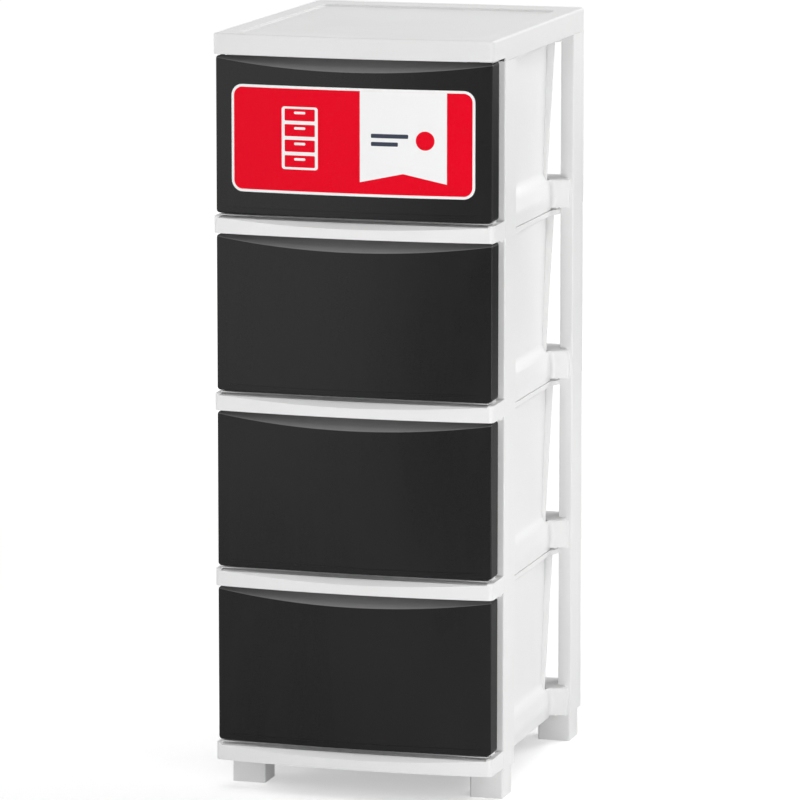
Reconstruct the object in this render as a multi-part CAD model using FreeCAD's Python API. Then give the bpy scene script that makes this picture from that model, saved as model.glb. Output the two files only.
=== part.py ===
import FreeCAD, Part

import math
import os

from FreeCAD import Vector

# Plastic tower of four drawers. Millimetres, +Z up, front towards -Y.
# The origin is on the floor, under the middle of the whole tower.
# Tier 1 is the top one. A height in a tier is measured from its seam, the lower end of its side frames.

# Whole tower
tower_width = 306.0
corner_depth = 380.0        # from the front corners to the back of the cap
front_bow = 10.0            # how far the middle of the front stands proud of its corners
tier_count = 4
tier_pitch = 189.4
overrun = 30.0              # how far a cut runs past what it cuts
wall = 2.4
fit_gap = 0.25              # clearance round plugs and tongues
seat_gap = 0.3              # clearance between faces that only lie near each other

# Feet
foot_height = 32.4
foot_width = 36.5
foot_depth = 36.0
foot_inset = 2.0            # from the outer face of the post to that of the foot
foot_floor = 3.0
foot_edge_radius = 2.0
plug_height = 11.0

# Posts
front_post_setback = 47.0   # behind the front corners
front_post_width = 28.2
front_post_depth = 45.0
rear_post_width = 14.6
rear_post_depth = 44.0
post_draft = 2.0            # how much deeper a rear post is at its lower end
post_top = 3.0
post_edge_radius = 1.6
front_foot_step = 5.0       # from the front of a post back to the front of its foot
rear_foot_step = 4.0

# Recessed panel and its flange
panel_recess = 26.0         # from the side of the tower to the panel
panel_gap_top = 12.0        # from the rear edge of the panel to the rear post, at its upper end
panel_gap_low = 30.5
flange_top = 8.0            # how far the flange stands out at its upper end
flange_low = 4.2
flange_wall = 2.2

# Lower side rail, flare and upper side rail
band_step = 7.0             # how far the lower rail stands out from the panel
band_height = 13.4
belly_height = 31.4
belly_lean = 1.6
slope_height = 40.0
rail_end_gap = 19.0         # from where the lower rail turns out to the rear post
flare_end_gap = 15.0
flare_pocket = 5.0          # from the tip of the flare in to the part that reaches the rear post
flare_inset = 0.8           # from the outer face of the post to the end of the flare
flare_height = 31.0
flare_radius = 4.0
upper_rail_drop = 3.6       # from the next seam down to the top of the upper side rail
upper_rail_height = 5.8

# Runner ledges and corner blocks
ledge_width = 16.0
ledge_wall = 2.4
ledge_top = 27.2
ledge_end_gap = 8.0
stop_height = 8.0           # upstand at the end of a ledge that the closed drawer meets
block_height = 21.0
rear_block_height = 30.0
block_front_lead = 10.5     # how far the corner block stands ahead of the post
block_side = 38.5           # from the side of the tower in to the inner face of the corner blocks

# Front rails
rail_rise = 3.7             # lower edge of the front rail above the seam
rail_height = 18.0
bottom_rail_trim = 1.4
lip_rise = 1.9              # lip above the top of the rail's corners
lip_setback = 4.0
scoop_slope = 0.675
lip_end = 6.0               # from the side of the tower to the end of the lip
rail_web_gap = 2.5          # from the back of the rail to the corner blocks
corner_radius = 5.0
rail_rib_count = 5
rail_rib_wall = 2.0
end_rib_side_in = 31.0      # from the side of the tower in to the ribs beside the tongue
end_rib_side_out = 11.0
tongue_width = 16.0
tongue_height = 7.0
tongue_rise = 8.0
tongue_length = 22.0

# Rear rails
rear_rail_margin = 14.0     # from the front of the rear rail to the back of the cap
rear_rail_height = 30.0
rear_rail_depth = 12.5
rear_tongue_depth = 6.0
rear_tongue_height = 14.0
rear_tongue_length = 15.0
rear_rib_count = 7

# Cap
cap_height = 26.0
cap_front_rise = 3.7        # lower edge of the skirt above the topmost seam, in front of the posts
cap_edge_radius = 2.6
rim_width = 13.0
rim_height = 2.6
rim_corner_radius = 9.0
front_rib_setback = 9.4
front_rib_drop = 3.8        # how far the rib behind the top drawer hangs below the topmost seam
front_rib_half = 121.0
deck_rib_count = 6
deck_rib_height = 9.0

# Drawers
front_side = 3.5            # from the side of the tower in to the side of the drawer front
front_setback = 4.0         # ends of the drawer front behind the front corners
front_low_gap = 1.4         # between the drawer front and the rails
front_high_gap = 3.3
front_wall = 2.6
return_setback = 28.0
front_corner_radius = 3.6
crescent_height = 10.6
crescent_depth = 12.5
top_lip_depth = 2.4
groove_rise = 6.4           # shallow groove across the face, above its lower edge
groove_height = 0.9
groove_depth = 0.6
groove_side = 14.0          # from the side of the drawer front in to the end of the groove
tub_side_gap = 2.0          # from the side of the tub to the panel
tub_rim_drop = 11.8         # from the top of the drawer front to the rim of the tub
tub_rear_gap = 12.0         # from the back of the tub to the rear post
tub_wall = 2.2
tub_corner_radius = 14.0
tub_edge_radius = 3.0
bead_step = 1.2
bead_height = 4.0
stop_rib_wall = 3.0
stop_rib_gap = 47.7         # from the front of the stop rib to the back of the tub
stop_rib_drop = 9.0
stop_rib_half = 60.0

# Label on the top drawer
label_side = 16.8           # from the side of the drawer front in to the label
label_low_margin = 24.0     # from the edges of the drawer front to the label
label_high_margin = 27.3
label_radius = 12.3
label_thickness = 0.3
label_gap = 0.3             # layer of glue behind the label

half_width = tower_width / 2
front_y = -(corner_depth + front_bow) / 2 + front_bow
rear_y = front_y + corner_depth
rear_post_setback = corner_depth - rear_post_depth - post_draft
front_foot_setback = front_post_setback + front_foot_step
rear_foot_setback = rear_post_setback + rear_foot_step
rear_rail_setback = corner_depth - rear_rail_margin
panel_edge_top = rear_post_setback - panel_gap_top
panel_edge_low = rear_post_setback - panel_gap_low
rail_end = rear_post_setback - rail_end_gap
flare_end = rear_post_setback - flare_end_gap
ledge_end = rear_post_setback - ledge_end_gap
block_front_setback = front_post_setback - block_front_lead
rail_web_setback = block_front_setback - rail_web_gap
block_inner = half_width - block_side
rail_end_rib_in = half_width - end_rib_side_in
rail_end_rib_out = half_width - end_rib_side_out
panel_out = half_width - panel_recess
panel_in = panel_out - flange_wall
band_out = panel_out + band_step
top_seam = foot_height + tier_count * tier_pitch
cap_top = top_seam + cap_height
lip_top = rail_rise + rail_height + lip_rise
front_half = half_width - front_side
front_low = lip_top + front_low_gap
front_high = tier_pitch + rail_rise - front_high_gap
tub_half = panel_in - tub_side_gap
tub_low = ledge_top + seat_gap
tub_high = front_high - tub_rim_drop
tub_rear = rear_post_setback - tub_rear_gap
label_half = front_half - label_side
drawer_travel = tub_rear - stop_rib_gap - rail_web_setback - seat_gap


def back(setback):
    """Y of a place that lies so far behind the front corners."""
    return front_y + setback


def box(x_span, y_span, z_span):
    corner = Vector(min(x_span), min(y_span), min(z_span))
    size_x = max(x_span) - min(x_span)
    size_y = max(y_span) - min(y_span)
    size_z = max(z_span) - min(z_span)
    return Part.makeBox(size_x, size_y, size_z, corner)


def prism_x(points, x_span):
    """Outline of (y, z) points, drawn out along X."""
    ring = [Vector(min(x_span), y, z) for y, z in points]
    face = Part.Face(Part.makePolygon(ring + ring[:1]))
    return face.extrude(Vector(max(x_span) - min(x_span), 0, 0))


def prism_y(points, y_span):
    """Outline of (x, z) points, drawn out along Y."""
    ring = [Vector(x, min(y_span), z) for x, z in points]
    face = Part.Face(Part.makePolygon(ring + ring[:1]))
    return face.extrude(Vector(0, max(y_span) - min(y_span), 0))


def prism_z(points, z_span):
    """Outline of (x, y) points, drawn out along Z."""
    ring = [Vector(x, y, min(z_span)) for x, y in points]
    face = Part.Face(Part.makePolygon(ring + ring[:1]))
    return face.extrude(Vector(0, 0, max(z_span) - min(z_span)))


def bowed_block(half, y_ends, bow, y_back, z_span):
    """Block whose front is an arc between its two ends, standing proud by bow in the middle."""
    low = min(z_span)
    left = Vector(-half, y_ends, low)
    right = Vector(half, y_ends, low)
    crest = Vector(0, y_ends - bow, low)
    back_right = Vector(half, y_back, low)
    back_left = Vector(-half, y_back, low)
    edges = [
        Part.Arc(left, crest, right).toShape(),
        Part.LineSegment(right, back_right).toShape(),
        Part.LineSegment(back_right, back_left).toShape(),
        Part.LineSegment(back_left, left).toShape(),
    ]
    return Part.Face(Part.Wire(edges)).extrude(Vector(0, 0, max(z_span) - low))


def upright_edges(shape, x, y, reach):
    """Vertical edges of the shape at the place (x, y)."""
    found = []
    for edge in shape.Edges:
        box_of_edge = edge.BoundBox
        if box_of_edge.XLength > reach or box_of_edge.YLength > reach:
            continue
        if abs(box_of_edge.Center.x - x) < reach and abs(box_of_edge.Center.y - y) < reach:
            found.append(edge)
    return found


def round_uprights(shape, places, radius):
    edges = []
    for x, y in places:
        edges += upright_edges(shape, x, y, radius / 2)
    return shape.makeFillet(radius, edges)


def fuse(pieces):
    return pieces[0].multiFuse(pieces[1:]).removeSplitter()


def mirror_x(shape):
    return shape.mirror(Vector(0, 0, 0), Vector(1, 0, 0))


def moved_up(shape, height):
    lifted = shape.copy()
    lifted.translate(Vector(0, 0, height))
    return lifted


def seam(tier):
    """Height of the lower end of a tier's side frames."""
    return foot_height + (tier_count - tier) * tier_pitch


def spread(low, high, count):
    """Evenly spaced places between two ends, both ends left out."""
    step = (high - low) / (count + 1)
    return [low + step * (index + 1) for index in range(count)]


def post_spans(front):
    """X and Y spans of a post's outer faces, on the right side."""
    width, setback, depth = rear_post_width, rear_post_setback, rear_post_depth
    if front:
        width, setback, depth = front_post_width, front_post_setback, front_post_depth
    return (half_width - width, half_width), (back(setback), back(setback + depth))


def inset(span, step):
    return span[0] + step, span[1] - step


def post_bore(front, z_span):
    """Space inside a post."""
    x_span, y_span = post_spans(front)
    return box(inset(x_span, wall), inset(y_span, wall), z_span)


def post_plug(front, z_span, floor):
    """Cup that plugs into the space inside a post, open at its top."""
    x_span, y_span = post_spans(front)
    outer_x = inset(x_span, wall + fit_gap)
    outer_y = inset(y_span, wall + fit_gap)
    outer = box(outer_x, outer_y, z_span)
    inner = box(inset(outer_x, wall), inset(outer_y, wall), (z_span[0] + floor, z_span[1] + overrun))
    return outer.cut(inner)


# Feet

def foot(front):
    """Cup-shaped foot on the right side. Its upper end plugs into the post above."""
    setback = front_foot_setback if front else rear_foot_setback
    x_span = (half_width - foot_inset - foot_width, half_width - foot_inset)
    y_span = (back(setback), back(setback + foot_depth))
    body = box(x_span, y_span, (0, foot_height))
    corners = [(x, y) for x in x_span for y in y_span]
    body = round_uprights(body, corners, foot_edge_radius)
    plug_x, plug_y = post_spans(front)
    plug_x = inset(plug_x, wall + fit_gap)
    plug_y = inset(plug_y, wall + fit_gap)
    plug = box(plug_x, plug_y, (foot_height, foot_height + plug_height))
    hollow_x = (max(x_span[0], plug_x[0]) + wall, min(x_span[1], plug_x[1]) - wall)
    hollow_y = (max(y_span[0], plug_y[0]) + wall, min(y_span[1], plug_y[1]) - wall)
    hollow = box(hollow_x, hollow_y, (foot_floor, foot_height + plug_height + overrun))
    return fuse([body, plug]).cut(hollow)


# Side frames

def front_post():
    x_span, y_span = post_spans(True)
    post = box(x_span, y_span, (0, tier_pitch))
    post = round_uprights(post, [(x_span[1], y_span[0])], post_edge_radius)
    post = post.cut(post_bore(True, (-overrun, tier_pitch - post_top)))
    return fuse([post, post_plug(True, (tier_pitch, tier_pitch + plug_height), 0)])


def rear_post():
    """Rear post, a little deeper at its foot than at its head."""
    x_span, y_span = post_spans(False)
    outline = [
        (y_span[0], 0),
        (y_span[1] + post_draft, 0),
        (y_span[1], tier_pitch),
        (y_span[0], tier_pitch),
    ]
    post = prism_x(outline, x_span)
    post = post.cut(post_bore(False, (-overrun, tier_pitch - post_top)))
    return fuse([post, post_plug(False, (tier_pitch, tier_pitch + plug_height), 0)])


def side_panel():
    """Recessed panel with a slanted rear edge, and the flange that stands out along that edge."""
    low = slope_height - flange_wall
    high = tier_pitch - upper_rail_drop
    near = back(front_post_setback + front_post_depth - wall)
    sheet = prism_x(
        [(near, low), (back(panel_edge_low), low), (back(panel_edge_top), high), (near, high)],
        (panel_in, panel_out))
    lip_front_low = back(panel_edge_low - flange_wall)
    lip_front_high = back(panel_edge_top - flange_wall)
    flange_foot = flare_height - flange_wall
    lip = prism_x(
        [(lip_front_low, flange_foot), (back(panel_edge_low), flange_foot),
         (back(panel_edge_top), high), (lip_front_high, high)],
        (panel_in, panel_out + flange_top + flange_wall))
    beyond = panel_out + flange_top + overrun
    slant = prism_y(
        [(panel_out + flange_low, flange_foot - overrun), (panel_out + flange_low, flange_foot),
         (panel_out + flange_top, high), (panel_out + flange_top, high + overrun),
         (beyond, high + overrun), (beyond, flange_foot - overrun)],
        (back(panel_edge_low) - overrun, back(panel_edge_top) + overrun))
    return [sheet, lip.cut(slant)]


def lower_side_rail():
    """Bulging rail along the foot of the panel, with the ledge that the drawer runs on."""
    outline = [
        (band_out, 0),
        (band_out, band_height),
        (band_out - belly_lean, belly_height),
        (panel_out, slope_height),
        (panel_in, slope_height),
        (band_out - belly_lean - flange_wall, belly_height - flange_wall / 2),
        (band_out - flange_wall, band_height),
        (band_out - flange_wall, 0),
    ]
    near = back(front_post_setback + front_post_depth - wall)
    rail = prism_y(outline, (near, back(rail_end)))
    rail = rail.cut(box(
        (panel_in - overrun, band_out + overrun),
        (back(panel_edge_low), back(rail_end) + overrun),
        (flare_height, slope_height + overrun)))
    ledge = box(
        (panel_in - ledge_width, band_out - flange_wall / 2),
        (back(block_front_setback), back(ledge_end)),
        (ledge_top - ledge_wall, ledge_top))
    stop = box(
        (panel_in - ledge_width, panel_in),
        (back(tub_rear) + seat_gap, back(tub_rear) + seat_gap + ledge_wall),
        (ledge_top - ledge_wall, ledge_top + stop_height))
    return [rail, ledge, stop]


def flare_outline(inner):
    """Plan of the end of a side rail, where it turns out to meet the rear post."""
    tip = half_width - flare_inset
    seat = back(rear_post_setback) + wall
    return [
        (band_out, back(panel_edge_low)),
        (band_out, back(rail_end)),
        (tip, back(flare_end)),
        (tip, back(flare_end) + flange_wall),
        (tip - flare_pocket, back(flare_end) + flange_wall),
        (tip - flare_pocket, seat),
        (inner, seat),
        (inner, back(panel_edge_low)),
    ]


def flare():
    """Hollow end block of the lower side rail."""
    block = prism_z(flare_outline(panel_in), (0, flare_height))
    block = round_uprights(block, [(band_out, back(rail_end))], flare_radius)
    tip = half_width - flare_inset - flare_pocket - flange_wall
    hollow_outline = [
        (band_out - flange_wall, back(panel_edge_low) - overrun),
        (band_out - flange_wall, back(rail_end + flange_wall / 2)),
        (tip, back(flare_end + flange_wall)),
        (tip, back(rear_post_setback) - flange_wall / 2),
        (panel_in - overrun, back(rear_post_setback) - flange_wall / 2),
        (panel_in - overrun, back(panel_edge_low) - overrun),
    ]
    return block.cut(prism_z(hollow_outline, (-overrun, flare_height - flange_wall)))


def upper_side_rail():
    """Thin rail along the top of the panel, and its bracket to the rear post."""
    high = tier_pitch - upper_rail_drop
    low = high - upper_rail_height
    near = back(front_post_setback + front_post_depth - wall)
    rail = box((panel_in, band_out), (near, back(rail_end)), (low, high))
    bracket = prism_z(flare_outline(panel_in), (low, high))
    return [rail, bracket]


def front_block():
    """Corner block under the front of the ledge, with the slot for the tongue of the front rail."""
    outer_x = half_width - wall - seat_gap
    block = box(
        (block_inner, outer_x),
        (back(block_front_setback), back(front_post_setback) + wall),
        (0, block_height))
    wing = box(
        (block_inner, half_width - front_post_width + wall),
        (back(block_front_setback), back(front_post_setback + front_post_depth) - wall),
        (0, ledge_top))
    hollow = box(
        (block_inner + wall, half_width - front_post_width),
        (back(front_post_setback), back(front_post_setback + front_post_depth) - wall - wall),
        (-overrun, ledge_top - wall))
    return [block, wing], hollow


def front_slot():
    middle = (rail_end_rib_in + rail_end_rib_out) / 2
    half = tongue_width / 2 + fit_gap
    return box(
        (middle - half, middle + half),
        (back(block_front_setback) - overrun, back(block_front_setback + tongue_length) + fit_gap),
        (rail_rise + tongue_rise - fit_gap, rail_rise + tongue_rise + tongue_height + fit_gap))


def rear_block():
    """Corner block beside the rear post, with the slot for the tongue of the rear rail."""
    near = back(rear_foot_setback)
    far = back(rear_rail_setback + rear_rail_depth)
    block = box((block_inner, half_width - rear_post_width + wall), (near, far), (0, rear_block_height))
    hollow = box(
        (block_inner + wall, half_width - rear_post_width),
        (near + wall, back(rear_rail_setback) - wall),
        (-overrun, rear_block_height - wall))
    link = box(
        (block_inner, half_width - rear_post_width + wall),
        (back(ledge_end) - wall, near + wall),
        (ledge_top - ledge_wall, ledge_top))
    return [block, link], hollow


def rear_slot():
    middle = rear_rail_setback + rear_rail_depth / 2
    half = rear_tongue_depth / 2 + fit_gap
    rise = (rear_rail_height - rear_tongue_height) / 2
    return box(
        (block_inner - overrun, block_inner + rear_tongue_length + fit_gap),
        (back(middle - half), back(middle + half)),
        (rise - fit_gap, rise + rear_tongue_height + fit_gap))


def side_frame():
    """Right side frame of a tier, standing on its seam at height zero."""
    front_parts, front_hollow = front_block()
    rear_parts, rear_hollow = rear_block()
    solids = [front_post(), rear_post()]
    solids += side_panel()
    solids += lower_side_rail()
    solids += [flare()]
    solids += upper_side_rail()
    solids += front_parts
    solids += rear_parts
    frame = fuse(solids)
    cuts = [
        front_hollow,
        rear_hollow,
        post_bore(True, (-overrun, tier_pitch - post_top)),
        post_bore(False, (-overrun, tier_pitch - post_top)),
        front_slot(),
        rear_slot(),
    ]
    return frame.cut(cuts)


# Front rails

def scoop_wedge(drop):
    """Space above the sloping top of the rail, in front of its lip, lowered by drop."""
    reach = front_bow + lip_setback + overrun
    y_lip = back(lip_setback)
    return prism_x(
        [(y_lip, lip_top - drop), (y_lip - reach, lip_top - drop - reach * scoop_slope),
         (y_lip - reach, lip_top + overrun), (y_lip, lip_top + overrun)],
        (-half_width - overrun, half_width + overrun))


def front_rail(low):
    """Bowed rail between two drawers, open underneath, wrapping both front corners."""
    arm_back = back(front_post_setback) - seat_gap
    outer = bowed_block(half_width, front_y, front_bow, arm_back, (low, lip_top))
    outer = round_uprights(outer, [(-half_width, front_y), (half_width, front_y)], corner_radius)
    shoulder = rail_rise + rail_height
    for side in (-1, 1):
        inner_x = side * (half_width - lip_end)
        outer = outer.cut(box(
            (inner_x, side * (half_width + overrun)),
            (front_y - overrun, rear_y),
            (shoulder, lip_top + overrun)))
    outer = outer.cut(scoop_wedge(0))
    slope_wall = wall * math.hypot(1, scoop_slope)
    inner = bowed_block(half_width - wall, front_y + wall, front_bow, arm_back + overrun,
                        (low - overrun, shoulder - wall))
    inner = inner.cut(scoop_wedge(slope_wall))
    under_lip = box(
        (-half_width + lip_end + wall, half_width - lip_end - wall),
        (back(lip_setback) + wall, back(rail_web_setback) - wall),
        (low - overrun, lip_top - wall))
    behind = box(
        (-half_width + wall, half_width - wall),
        (back(rail_web_setback), arm_back + overrun),
        (low - overrun, lip_top + overrun))
    shell = outer.cut([inner, under_lip, behind])
    web_back = box(
        (-block_inner, block_inner),
        (back(rail_web_setback) - wall, back(rail_web_setback)),
        (low, lip_top - wall / 2))
    ribs = [web_back]
    for x in spread(-rail_end_rib_in, rail_end_rib_in, rail_rib_count):
        ribs.append(rail_rib(x, low))
    for side in (-1, 1):
        ribs.append(rail_rib(side * rail_end_rib_in, low))
        ribs.append(rail_rib(side * rail_end_rib_out, low))
        ribs.append(rail_tongue(side, low))
    return fuse([shell] + ribs)


def rail_rib(x, low):
    """Upright rib across the inside of the rail."""
    half = rail_rib_wall / 2
    rib = box(
        (x - half, x + half),
        (front_y - front_bow, back(rail_web_setback)),
        (low + rail_rib_wall, lip_top - wall / 2))
    slope_wall = wall * math.hypot(1, scoop_slope) / 2
    inside = bowed_block(half_width - wall / 2, front_y + wall / 2, front_bow, rear_y, (low, lip_top))
    return rib.common(inside).cut(scoop_wedge(slope_wall))


def rail_tongue(side, low):
    """Flat tongue that goes into the corner block, held between the two end ribs."""
    middle = side * (rail_end_rib_in + rail_end_rib_out) / 2
    half = tongue_width / 2
    rise = rail_rise + tongue_rise
    root = box(
        (side * rail_end_rib_in, side * rail_end_rib_out),
        (back(rail_web_setback) - wall, back(rail_web_setback)),
        (low + rail_rib_wall, lip_top - wall / 2))
    tongue = box(
        (middle - half, middle + half),
        (back(rail_web_setback) - wall, back(block_front_setback + tongue_length)),
        (rise, rise + tongue_height))
    return root.fuse(tongue)


# Rear rails

def rear_rail():
    """Channel between the rear corner blocks, open to the back, with ribs and end tongues."""
    half = block_inner - seat_gap
    y_span = (back(rear_rail_setback), back(rear_rail_setback + rear_rail_depth))
    outer = box((-half, half), y_span, (0, rear_rail_height))
    inner = box(
        (-half + wall, half - wall),
        (y_span[0] + wall, y_span[1] + overrun),
        (wall, rear_rail_height - wall))
    pieces = [outer.cut(inner)]
    for x in spread(-half, half, rear_rib_count):
        pieces.append(box((x - rail_rib_wall / 2, x + rail_rib_wall / 2), y_span, (0, rear_rail_height)))
    middle = (y_span[0] + y_span[1]) / 2
    rise = (rear_rail_height - rear_tongue_height) / 2
    for side in (-1, 1):
        pieces.append(box(
            (side * (half - wall / 2), side * (block_inner + rear_tongue_length)),
            (middle - rear_tongue_depth / 2, middle + rear_tongue_depth / 2),
            (rise, rise + rear_tongue_height)))
    return fuse(pieces)


# Cap

def top_cover():
    outer = bowed_block(half_width, front_y, front_bow, rear_y, (top_seam, cap_top))
    corners = [(x, y) for x in (-half_width, half_width) for y in (front_y, rear_y)]
    outer = round_uprights(outer, corners, corner_radius)
    rim_edges = [edge for edge in outer.Edges if edge.BoundBox.ZMin > cap_top - wall]
    outer = outer.makeFillet(cap_edge_radius, rim_edges)
    deck_low = cap_top - rim_height - wall
    inner = bowed_block(half_width - wall, front_y + wall, front_bow, rear_y - wall,
                        (top_seam - overrun, deck_low))
    front_step = box(
        (-half_width - overrun, half_width + overrun),
        (front_y - overrun, back(front_post_setback) - seat_gap),
        (top_seam - overrun, top_seam + cap_front_rise))
    recess = bowed_block(half_width - rim_width, front_y + rim_width, front_bow, rear_y - rim_width,
                         (cap_top - rim_height, cap_top + overrun))
    recess_corners = [(x, y) for x in (-half_width + rim_width, half_width - rim_width)
                      for y in (front_y + rim_width, rear_y - rim_width)]
    recess = round_uprights(recess, recess_corners, rim_corner_radius)
    pieces = [outer.cut([inner, recess, front_step])]
    bores = []
    for front in (True, False):
        x_span, y_span = post_spans(front)
        socket = box(x_span, y_span, (top_seam, deck_low + wall / 2))
        socket = round_uprights(socket, [(x_span[1], y_span[0])], post_edge_radius)
        bore = post_bore(front, (top_seam - overrun, top_seam + plug_height + fit_gap))
        pieces += [socket, mirror_x(socket)]
        bores += [bore, mirror_x(bore)]
    pieces.append(box(
        (-front_rib_half, front_rib_half),
        (back(front_rib_setback), back(front_rib_setback) + wall),
        (top_seam - front_rib_drop, deck_low + wall / 2)))
    for y in spread(back(front_rib_setback), rear_y, deck_rib_count):
        pieces.append(box(
            (-half_width + wall / 2, half_width - wall / 2),
            (y - rail_rib_wall / 2, y + rail_rib_wall / 2),
            (deck_low - deck_rib_height, deck_low + wall / 2)))
    return fuse(pieces).cut(bores)


# Drawers

def crescent_wedge(step):
    """Space in front of the crescent at the top of the drawer front, moved in by step."""
    slope = crescent_height / crescent_depth
    shift = step * math.hypot(1, slope)
    y_top = back(front_setback) - front_bow + crescent_depth
    reach = crescent_depth + overrun
    return prism_x(
        [(y_top, front_high - shift), (y_top - reach, front_high - shift - reach * slope),
         (y_top - reach, front_high + overrun), (y_top, front_high + overrun)],
        (-half_width - overrun, half_width + overrun))


def face_groove():
    """Thin layer of the bowed face, cut out as a groove."""
    y_ends = back(front_setback)
    half = front_half - groove_side
    low = front_low + groove_rise
    slot = box((-half, half), (y_ends - front_bow - overrun, y_ends + front_wall), (low, low + groove_height))
    behind = bowed_block(front_half, y_ends + groove_depth, front_bow, back(return_setback),
                         (front_low, front_high))
    return slot.cut(behind)


def drawer_front():
    """Bowed front with a crescent at its top, hollow behind, with returns down both sides."""
    y_ends = back(front_setback)
    y_back = back(return_setback)
    outer = bowed_block(front_half, y_ends, front_bow, y_back, (front_low, front_high))
    corner_edges = []
    for edge in outer.Edges:
        bounds = edge.BoundBox
        if bounds.XLength < front_wall and bounds.ZLength < front_wall:
            corner_edges.append(edge)
    outer = outer.makeFillet(front_corner_radius, corner_edges)
    outer = outer.cut(crescent_wedge(0))
    inner = bowed_block(front_half - front_wall, y_ends + front_wall, front_bow, y_back + overrun,
                        (front_low + front_wall, front_high - front_wall))
    inner = inner.cut(crescent_wedge(front_wall))
    open_top = box(
        (-front_half + front_wall, front_half - front_wall),
        (y_ends - front_bow + crescent_depth + top_lip_depth, y_back + overrun),
        (front_low + front_wall, front_high + overrun))
    return outer.cut([inner, open_top, face_groove()])


def drawer_tub():
    """Open box behind the front, with a bead round its rim and a stop rib under its floor."""
    near = back(front_setback)
    far = back(tub_rear)
    outer = box((-tub_half, tub_half), (near, far), (tub_low, tub_high))
    rear_corners = [(-tub_half, far), (tub_half, far)]
    outer = round_uprights(outer, rear_corners, tub_corner_radius)
    low_edges = [edge for edge in outer.Edges
                 if edge.BoundBox.ZMax < tub_low + tub_wall and edge.BoundBox.YMax > near + tub_wall]
    outer = outer.makeFillet(tub_edge_radius, low_edges)
    bead = box(
        (-tub_half - bead_step, tub_half + bead_step),
        (back(return_setback), far + bead_step),
        (tub_high - bead_height, tub_high))
    bead_corners = [(-tub_half - bead_step, far + bead_step), (tub_half + bead_step, far + bead_step)]
    bead = round_uprights(bead, bead_corners, tub_corner_radius + bead_step)
    inner = box(
        (-tub_half + tub_wall, tub_half - tub_wall),
        (near - overrun, far - tub_wall),
        (tub_low + tub_wall, tub_high + overrun))
    inner_corners = [(-tub_half + tub_wall, far - tub_wall), (tub_half - tub_wall, far - tub_wall)]
    inner = round_uprights(inner, inner_corners, tub_corner_radius - tub_wall)
    stop_front = back(rail_web_setback) + drawer_travel + seat_gap
    stop_rib = box(
        (-stop_rib_half, stop_rib_half),
        (stop_front, stop_front + stop_rib_wall),
        (tub_low - stop_rib_drop, tub_low + tub_wall / 2))
    return [outer, bead, stop_rib], inner


def drawer():
    """One-piece drawer, in the height of a tier's seam."""
    pieces, inner = drawer_tub()
    front = drawer_front()
    tub = fuse(pieces).cut(inner)
    y_ends = back(front_setback)
    ahead = bowed_block(half_width, y_ends + front_wall / 2, front_bow, rear_y,
                        (tub_low - overrun, tub_high + overrun))
    tub = tub.common(ahead)
    floor_front = box(
        (-tub_half, tub_half),
        (front_y - front_bow, back(return_setback)),
        (tub_low, tub_low + tub_wall)).common(ahead)
    return fuse([front, tub, floor_front])


def front_label():
    """Thin sheet with round corners on the bowed face of the top drawer."""
    y_ends = back(front_setback)
    low = front_low + label_low_margin
    high = front_high - label_high_margin
    sheet = bowed_block(front_half, y_ends - label_gap - label_thickness, front_bow, rear_y, (low, high))
    face = bowed_block(front_half, y_ends - label_gap, front_bow, rear_y + overrun,
                       (low - overrun, high + overrun))
    plate = box((-label_half, label_half), (front_y - overrun, front_y + overrun), (low, high))
    edges = [edge for edge in plate.Edges
             if edge.BoundBox.XLength < label_thickness and edge.BoundBox.ZLength < label_thickness]
    plate = plate.makeFillet(label_radius, edges)
    return sheet.cut(face).common(plate)


# Building and writing the nodes

nodes = {}
nodes["top_cover"] = top_cover()

frame_right = side_frame()
frame_left = mirror_x(frame_right)
full_rail = front_rail(rail_rise)
trimmed_rail = front_rail(rail_rise + bottom_rail_trim)
cross_rail = rear_rail()
one_drawer = drawer()
for tier in range(1, tier_count + 1):
    height = seam(tier)
    nodes["side_frame_right_" + str(tier)] = moved_up(frame_right, height)
    nodes["side_frame_left_" + str(tier)] = moved_up(frame_left, height)
    rail = trimmed_rail if tier == tier_count else full_rail
    nodes["front_rail_" + str(tier)] = moved_up(rail, height)
    nodes["rear_rail_" + str(tier)] = moved_up(cross_rail, height)
    nodes["drawer_" + str(tier)] = moved_up(one_drawer, height)
nodes["front_label"] = moved_up(front_label(), seam(1))
for front in (True, False):
    place = "front" if front else "rear"
    right_foot = foot(front)
    nodes["foot_" + place + "_right"] = right_foot
    nodes["foot_" + place + "_left"] = mirror_x(right_foot)

print("drawer travel", round(drawer_travel, 3))
os.makedirs("parts", exist_ok=True)
for name, shape in nodes.items():
    shape.exportStep("parts/" + name + ".step")
    print(name, "valid", shape.isValid(), "solids", len(shape.Solids), "volume", round(shape.Volume))
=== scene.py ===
import math

import bmesh
import bpy
from mathutils import Matrix, Vector


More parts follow.
